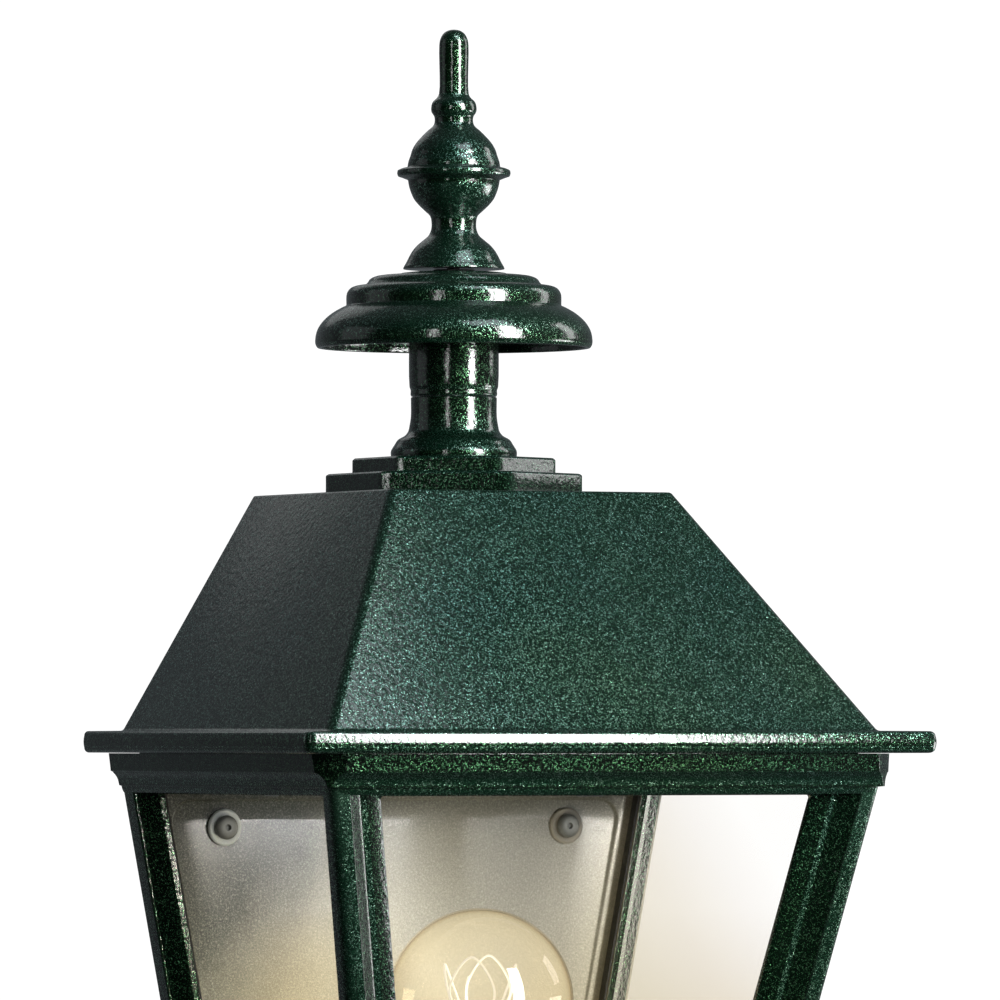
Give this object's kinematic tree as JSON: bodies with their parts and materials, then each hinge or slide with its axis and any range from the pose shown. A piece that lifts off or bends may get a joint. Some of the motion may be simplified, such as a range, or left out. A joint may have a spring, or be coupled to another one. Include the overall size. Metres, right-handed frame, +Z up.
{
  "type": "wall lantern",
  "caption": "Flat-backed tapered wall lantern with glazed sides, a truncated roof that lifts off, a capped chimney with a screw-on finial, and a screw-in globe bulb.",
  "frame": {"origin": "on the flat rear face of the body, on the lantern's centre line, 130 mm below the middle of the eave rim; the wall plane is y = 0", "axes": "+Z up, +Y into the wall, -Y out to the front of the lantern, +X to the right seen from the front"},
  "size_m": [0.3, 0.2265, 0.6577],
  "materials": {
    "green_enamel": "dark green hammertone enamel baked on cast aluminium, glossy",
    "pane_glass": "clear float glass",
    "seal_rubber": "black EPDM rubber",
    "zinc_steel": "bright zinc plated steel",
    "brass": "plain brass",
    "holder_black": "black thermoset, satin",
    "ceramic_white": "unglazed white steatite",
    "terminal_white": "natural polyamide",
    "cable_black": "black rubber sheath",
    "wire_brown": "brown insulation",
    "wire_blue": "blue insulation",
    "washer_grey": "pale grey sealing washer, satin",
    "bulb_glass": "pale amber tinted glass",
    "bulb_cap_metal": "nickel plated brass screw shell",
    "contact_solder": "solder tipped contact",
    "filament_glass": "clear glass mount with coated LED filament loops"
  },
  "bodies": {
    "body": {"body_frame": "green_enamel", "glass_front": "pane_glass", "glass_left": "pane_glass", "glass_right": "pane_glass", "seal_front": "seal_rubber", "seal_left": "seal_rubber", "seal_right": "seal_rubber", "front_clip_top": "zinc_steel", "front_clip_screw_top": "zinc_steel", "left_clip_top": "zinc_steel", "left_clip_screw_top": "zinc_steel", "right_clip_top": "zinc_steel", "right_clip_screw_top": "zinc_steel", "front_clip_bottom": "zinc_steel", "front_clip_screw_bottom": "zinc_steel", "left_clip_bottom": "zinc_steel", "left_clip_screw_bottom": "zinc_steel", "right_clip_bottom": "zinc_steel", "right_clip_screw_bottom": "zinc_steel", "tie_rod": "zinc_steel", "crossbar": "zinc_steel", "rod_nut_upper": "zinc_steel", "rod_nut_lower": "zinc_steel", "crossbar_screw_left": "zinc_steel", "crossbar_screw_right": "zinc_steel", "bottom_tray": "green_enamel", "tray_screw_front_left": "zinc_steel", "tray_screw_front_right": "zinc_steel", "tray_screw_rear_left": "zinc_steel", "tray_screw_rear_right": "zinc_steel", "pendant": "green_enamel", "pendant_nut": "zinc_steel", "lampholder_bracket": "zinc_steel", "lampholder_nipple": "brass", "nipple_nut": "brass", "lampholder_body": "holder_black", "lampholder_shell": "brass", "lampholder_insert": "ceramic_white", "lampholder_contact": "brass", "terminal_block": "terminal_white", "cable_grommet": "seal_rubber", "supply_cable": "cable_black", "lamp_wire_live": "wire_brown", "lamp_wire_neutral": "wire_blue", "earth_screw": "brass", "wall_washer_left": "washer_grey", "wall_screw_left": "zinc_steel", "wall_washer_right": "washer_grey", "wall_screw_right": "zinc_steel"},
    "roof": {"roof": "green_enamel", "chimney_plinth": "green_enamel", "chimney_cap": "green_enamel"},
    "finial_washer": {"finial_washer": "seal_rubber"},
    "finial": {"finial": "green_enamel"},
    "bulb_contact": {"bulb_contact": "contact_solder"},
    "bulb": {"bulb_globe": "bulb_glass", "bulb_cap": "bulb_cap_metal", "bulb_filament": "filament_glass"}
  },
  "joints": [
    {"name": "roof_lift", "type": "slide", "parent": "body", "child": "roof", "axis": [0, 0, 1], "range_m": [0, 0.26]},
    {"name": "finial_rise", "type": "slide", "parent": "roof", "child": "finial_washer", "axis": [0, 0, 1], "range_m": [0, 0.024]},
    {"name": "finial_turn", "type": "hinge", "parent": "finial_washer", "child": "finial", "pos_m": [0, -0.0612, 0.3364], "axis": [0, 0, 1], "range_deg": [0, 8645]},
    {"name": "bulb_rise", "type": "slide", "parent": "body", "child": "bulb_contact", "axis": [0, 0, 1], "range_m": [0, 0.01815]},
    {"name": "bulb_turn", "type": "hinge", "parent": "bulb_contact", "child": "bulb", "pos_m": [0, -0.087, -0.045], "axis": [0, 0, 1], "range_deg": [0, 1805]}
  ],
  "couplings": [
    {"joint": "finial_turn", "follows": "finial_rise", "rad_per_m": 6283.2},
    {"joint": "bulb_turn", "follows": "bulb_rise", "rad_per_m": 1731.4}
  ]
}
